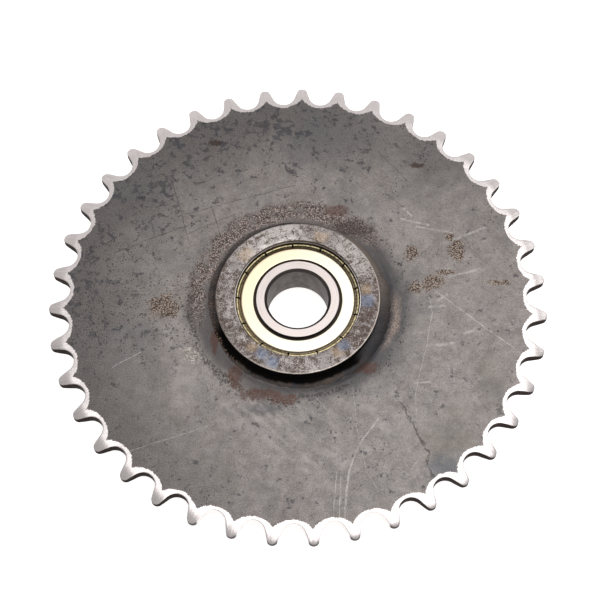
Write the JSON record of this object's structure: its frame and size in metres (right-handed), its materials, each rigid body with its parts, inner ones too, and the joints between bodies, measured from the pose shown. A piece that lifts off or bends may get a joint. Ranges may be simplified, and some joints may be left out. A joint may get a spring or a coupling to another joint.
{
  "type": "chain sprocket",
  "caption": "Flat plate chain sprocket with a welded hub ring that turns on a shielded ball bearing with a plain bore.",
  "frame": {"origin": "centre of the bearing bore, at half the bearing's width", "axes": "+Z along the bore axis towards the front side, where the hub's lip retains the bearing; +X and +Y lie in the plane of the plate"},
  "size_m": [0.163, 0.1631, 0.0184],
  "materials": {
    "plate_mill_scale": "hot-rolled mill scale, dull grey, with rust blooms and scratches; teeth bare and brushed",
    "hub_steel": "turned steel, mottled with light brown rust and heat tints",
    "weld_metal": "rippled weld, dark grey-brown oxide",
    "spring_steel": "black phosphated spring steel",
    "bearing_steel": "ground bearing steel",
    "shield_zinc": "pressed sheet, pale yellow zinc plating",
    "cage_steel": "pressed steel strip",
    "ball_steel": "polished"
  },
  "bodies": {
    "inner_ring": {"bearing_inner_ring": "bearing_steel"},
    "sprocket": {"sprocket_plate": "plate_mill_scale", "hub_housing": "hub_steel", "front_weld_bead": "weld_metal", "rear_weld_bead": "weld_metal", "retaining_ring": "spring_steel", "bearing_outer_ring": "bearing_steel", "front_shield": "shield_zinc", "rear_shield": "shield_zinc"},
    "cage": {"cage_front_half": "cage_steel", "cage_rear_half": "cage_steel", "cage_rivets": "cage_steel"},
    "ball_1": {"ball_1": "ball_steel"},
    "ball_2": {"ball_2": "ball_steel"},
    "ball_3": {"ball_3": "ball_steel"},
    "ball_4": {"ball_4": "ball_steel"},
    "ball_5": {"ball_5": "ball_steel"},
    "ball_6": {"ball_6": "ball_steel"},
    "ball_7": {"ball_7": "ball_steel"},
    "ball_8": {"ball_8": "ball_steel"}
  },
  "joints": [
    {"name": "sprocket_spin", "type": "hinge", "parent": "inner_ring", "child": "sprocket", "pos_m": [0, 0, 0], "axis": [0, 0, 1], "continuous": true},
    {"name": "cage_spin", "type": "hinge", "parent": "inner_ring", "child": "cage", "pos_m": [0, 0, 0], "axis": [0, 0, 1], "continuous": true},
    {"name": "ball_1_spin", "type": "hinge", "parent": "cage", "child": "ball_1", "pos_m": [0.01675, 0, 0], "axis": [0, 0, 1], "continuous": true},
    {"name": "ball_2_spin", "type": "hinge", "parent": "cage", "child": "ball_2", "pos_m": [0.01184, 0.01184, 0], "axis": [0, 0, 1], "continuous": true},
    {"name": "ball_3_spin", "type": "hinge", "parent": "cage", "child": "ball_3", "pos_m": [0, 0.01675, 0], "axis": [0, 0, 1], "continuous": true},
    {"name": "ball_4_spin", "type": "hinge", "parent": "cage", "child": "ball_4", "pos_m": [-0.01184, 0.01184, 0], "axis": [0, 0, 1], "continuous": true},
    {"name": "ball_5_spin", "type": "hinge", "parent": "cage", "child": "ball_5", "pos_m": [-0.01675, 0, 0], "axis": [0, 0, 1], "continuous": true},
    {"name": "ball_6_spin", "type": "hinge", "parent": "cage", "child": "ball_6", "pos_m": [-0.01184, -0.01184, 0], "axis": [0, 0, 1], "continuous": true},
    {"name": "ball_7_spin", "type": "hinge", "parent": "cage", "child": "ball_7", "pos_m": [0, -0.01675, 0], "axis": [0, 0, 1], "continuous": true},
    {"name": "ball_8_spin", "type": "hinge", "parent": "cage", "child": "ball_8", "pos_m": [0.01184, -0.01184, 0], "axis": [0, 0, 1], "continuous": true}
  ],
  "couplings": [
    {"joint": "cage_spin", "follows": "sprocket_spin", "ratio": 0.61848},
    {"joint": "ball_1_spin", "follows": "sprocket_spin", "ratio": 1.9916},
    {"joint": "ball_2_spin", "follows": "sprocket_spin", "ratio": 1.9916},
    {"joint": "ball_3_spin", "follows": "sprocket_spin", "ratio": 1.9916},
    {"joint": "ball_4_spin", "follows": "sprocket_spin", "ratio": 1.9916},
    {"joint": "ball_5_spin", "follows": "sprocket_spin", "ratio": 1.9916},
    {"joint": "ball_6_spin", "follows": "sprocket_spin", "ratio": 1.9916},
    {"joint": "ball_7_spin", "follows": "sprocket_spin", "ratio": 1.9916},
    {"joint": "ball_8_spin", "follows": "sprocket_spin", "ratio": 1.9916}
  ]
}
